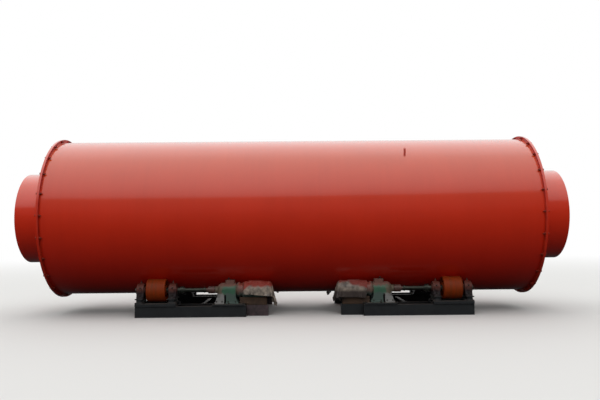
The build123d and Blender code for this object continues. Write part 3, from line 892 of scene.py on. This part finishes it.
def solid_tube(shape, start, end, start_radius, end_radius):
    """Add a closed tube along x, on the left near unit's shaft."""
    middle = Matrix.Translation(unit_point("left_near", (start + end) / 2, 0, 0))
    bmesh.ops.create_cone(
        shape, cap_ends=True, segments=40, radius1=start_radius, radius2=end_radius,
        depth=end - start, matrix=middle @ Matrix.Rotation(math.pi / 2, 4, "Y"))


def solid_block(shape, start, end, half_width, low, high):
    """Add a block that stands across the left near unit's shaft."""
    made = bmesh.ops.create_cube(shape, size=1)
    bmesh.ops.scale(shape, vec=(end - start, 2 * half_width, high - low), verts=made["verts"])
    middle = unit_point("left_near", (start + end) / 2, 0, (low + high) / 2)
    bmesh.ops.translate(shape, vec=middle, verts=made["verts"])


def film_stand_in():
    """What the film can fall on: the motor, gearbox, timber and frame as plain closed shapes."""
    shape = bmesh.new()
    tubes = {
        "flange": (1.40, 1.502, 0.134, 0.134),
        "frame": (1.502, 2.060, 0.140, 0.140),
        "fan_cowl": (2.060, 2.085, 0.140, 0.116)}
    blocks = {
        "terminal_box": (1.70, 1.90, 0.061, 0.05, 0.153),
        "timber": (timber_start, timber_end + 0.003, timber_half_width + 0.003, sole_top, -0.13),
        "motor_beam": (1.60, 2.043, 0.078, -shaft_height, sole_top),
        "sole_plate": (1.04, 1.625, 0.264, frame_top, sole_top + 0.002),
        "base_frame": (1.04, 1.645, 0.244, -shaft_height, frame_top),
        "gearbox": (1.104, 1.45, 0.128, sole_top, 0.02),
        "ground": (0.8, 3.4, 1.5, -shaft_height - 0.1, -shaft_height)}
    for size in tubes.values():
        solid_tube(shape, *size)
    for size in blocks.values():
        solid_block(shape, *size)
    stand_in = add_object("film_stand_in", mesh_from(shape, "film_stand_in"))
    stand_in.modifiers.new("hit", "COLLISION")
    stand_in.collision.thickness_outer = 0.004
    stand_in.collision.cloth_friction = 12
    return stand_in


def fallen_film(seed, turn, low, high):
    """A creased sheet let fall over the left near motor, as a mesh, with its size laid flat."""
    rows, columns = round(film_length / film_step), round((high - low) / film_step)
    points = []
    for row in range(rows + 1):
        for column in range(columns + 1):
            along = film_length * row / rows
            across = low + (high - low) * column / columns
            place = Vector((along + along_shift * seed, across / 3 + across_shift * seed, 0))
            lift = crumple_depth * (ridge(place, large_creases) + 0.5 * ridge(place, small_creases))
            points.append(unit_point(
                "left_near",
                film_start + along * math.cos(turn) + across * math.sin(turn),
                across * math.cos(turn) - along * math.sin(turn),
                drop_height + lift))
    faces = []
    for row in range(rows):
        for column in range(columns):
            corner = row * (columns + 1) + column
            faces.append((corner, corner + 1, corner + columns + 2, corner + columns + 1))
    mesh = bpy.data.meshes.new("film_cut")
    mesh.from_pydata(points, [], faces)
    area = sum(face.area for face in mesh.polygons)
    crumple = math.sqrt(area / (film_length * (high - low)))
    sheet = add_object("film_cut", mesh)
    cloth = sheet.modifiers.new("fall", "CLOTH")
    for part, settings in (
            (cloth.settings, film_weight_and_stiffness),
            (cloth.collision_settings, film_contact),
            (cloth.point_cache, {"frame_start": 1, "frame_end": fall_frames})):
        for name, value in settings.items():
            setattr(part, name, value)
    for moment in range(1, fall_frames + 1):
        scene.frame_set(moment)
    fallen = frozen_mesh(sheet, "film_fallen")
    scene.frame_set(1)
    return fallen, ((high - low) * crumple, film_length * crumple)


def keep_off_motor(mesh):
    """Push what sank into the motor's outline back out to a clearance."""
    middle = unit_rows["left_near"]
    reach = motor_radius + motor_clearance
    for vert in mesh.vertices:
        along = vert.co.x - middle.x
        radial = Vector((0, vert.co.y - middle.y, vert.co.z - middle.z))
        if motor_ends[0] < along < motor_ends[1] and radial.length < reach:
            vert.co += radial.normalized() * (reach - radial.length)


def film_piece(unit, fallen, flat):
    """The finished film on one unit: the fallen sheet, mirrored to its place and made a skin."""
    mesh = fallen.copy()
    middle = unit_rows["left_near"]
    for vert in mesh.vertices:
        off = vert.co - middle
        vert.co = unit_point(unit, off.x, -off.y, off.z)
    if (unit_rows[unit].x > station_middle) != (unit_rows[unit].y > 0):
        mesh.flip_normals()
    source = add_object(f"{unit}_film_source", mesh)
    finer = source.modifiers.new("finer", "SUBSURF")
    finer.levels = finer.render_levels = 1
    skin = source.modifiers.new("skin", "SOLIDIFY")
    skin.thickness = film_skin
    skin.offset = 1
    final = frozen_mesh(source, f"{unit}_film")
    final.shade_smooth()
    final.materials.append(polythene)
    piece = add_piece(f"{unit}_film", final, "base")
    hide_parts(f"{unit}_motor_film")


stand_in = film_stand_in()
first_fall = fallen_film(seed=1, turn=math.radians(-3), low=-0.265, high=0.285)
second_fall = fallen_film(seed=2, turn=math.radians(1), low=-0.30, high=0.38)
bpy.data.objects.remove(stand_in)
for fallen, _ in (first_fall, second_fall):
    keep_off_motor(fallen)
film_piece("left_near", *first_fall)
film_piece("right_near", *second_fall)
film_piece("left_far", *second_fall)
film_piece("right_far", *first_fall)


# The floor is a pale smooth slab that fades into the white backdrop. In front of the drum it gives
# its underside and its gloss only the little light that the weathered paving of a yard would.
floor_radius, floor_fade, floor_beyond = 120, (9, 40), (12, 30)
floor_shape = bmesh.new()
bmesh.ops.create_circle(floor_shape, cap_ends=True, radius=floor_radius, segments=96)
floor = add_object("floor", mesh_from(floor_shape, "floor"))


def sees_background(tree, far_side):
    """1 for camera rays, and on the far side for glossy and transmission rays too."""
    rays = add_node(tree, "ShaderNodeLightPath").outputs
    mirrored_rays = reckon(tree, "MAXIMUM", rays["Is Glossy Ray"], rays["Is Transmission Ray"])
    beyond = reckon(tree, "MULTIPLY", mirrored_rays, far_side)
    return reckon(tree, "MAXIMUM", rays["Is Camera Ray"], beyond)


slab, tree, shader, place = start_material("pale_floor_slab", roughness=0.9, specular_ior_level=0.1)
split = split_xyz(tree, place)
behind = mapped(tree, split["Y"], *floor_beyond, smooth=True)
seen = sees_background(tree, behind)
slab_colour = mixed(tree, seen, "#2E2E2E", "#D8D8D6")
drive(shader, base_color=slab_colour)
distance = add_node(tree, "ShaderNodeVectorMath", {"operation": "LENGTH"}, {0: place})
far = mapped(tree, distance.outputs["Value"], *floor_fade, smooth=True)
fade = reckon(tree, "MULTIPLY", far, seen)
glow = add_node(tree, "ShaderNodeEmission", inputs={"Color": (1, 1, 1, 1), "Strength": 1})
blend = add_node(tree, "ShaderNodeMixShader", inputs={
    0: fade, 1: shader.outputs["BSDF"], 2: glow.outputs["Emission"]})
output = next(node for node in tree.nodes if node.bl_idname == "ShaderNodeOutputMaterial")
tree.links.new(blend.outputs["Shader"], output.inputs["Surface"])
floor.data.materials.append(slab)


# A white sky dome over a dull skyline lights everything softly, with a wide lamp in front of the
# drum and a weaker one behind it. The skyline is a little higher to the left, as the gloss shows.
skyline_rise, skyline_blur, skyline_slope = 0.455, 0.02, -0.116
skyline_light, overcast_light, overcast_curve = (0.01, 0.08), (0.48, 1.57), 0.8
backdrop_rise, backdrop_light, backdrop_edge = (0.05, 0.95), (0.6, 1.7), 0.3
world = bpy.data.worlds.new("sky_dome")
scene.world = world
world.use_nodes = True
tree = world.node_tree
tree.nodes.clear()
heading = add_node(tree, "ShaderNodeTexCoord").outputs["Generated"]
split = split_xyz(tree, heading)
level_skyline = reckon(tree, "MULTIPLY_ADD", split["X"], skyline_slope, split["Z"])
hills = mapped(tree, level_skyline, 0, skyline_rise, *skyline_light)
sky_start = mapped(
    tree, level_skyline, skyline_rise - skyline_blur, skyline_rise + skyline_blur, smooth=True)
above_skyline = mapped(tree, level_skyline, skyline_rise, 1.0)
curve = reckon(tree, "POWER", above_skyline, overcast_curve)
overcast = mapped(tree, curve, 0, 1, *overcast_light)
rise = add_node(tree, "ShaderNodeMix", {"data_type": "FLOAT"}, {0: sky_start, 2: hills, 3: overcast})
behind = mapped(tree, split["Y"], 0, backdrop_edge, smooth=True)
backdrop = mapped(tree, split["Z"], *backdrop_rise, *backdrop_light)
camera_ray = add_node(tree, "ShaderNodeLightPath").outputs["Is Camera Ray"]
white = reckon(tree, "MAXIMUM", camera_ray, backdrop)
level = add_node(tree, "ShaderNodeMix", {"data_type": "FLOAT"}, {
    0: sees_background(tree, behind), 2: rise.outputs["Result"], 3: white})
sky = add_node(tree, "ShaderNodeBackground", inputs={
    "Color": (1, 1, 1, 1), "Strength": level.outputs["Result"]})
add_node(tree, "ShaderNodeOutputWorld", inputs={"Surface": sky.outputs["Background"]})

lamp_spread = math.radians(60)
for name, energy, tilt in (("front_lamp", 1.15, 66), ("back_lamp", 0.9, -66)):
    lamp_light = bpy.data.lights.new(name, "SUN")
    lamp_light.energy = energy
    lamp_light.angle = lamp_spread
    lamp = add_object(name, lamp_light)
    lamp.rotation_euler = (math.radians(tilt), 0, 0)
    lamp.visible_glossy = False
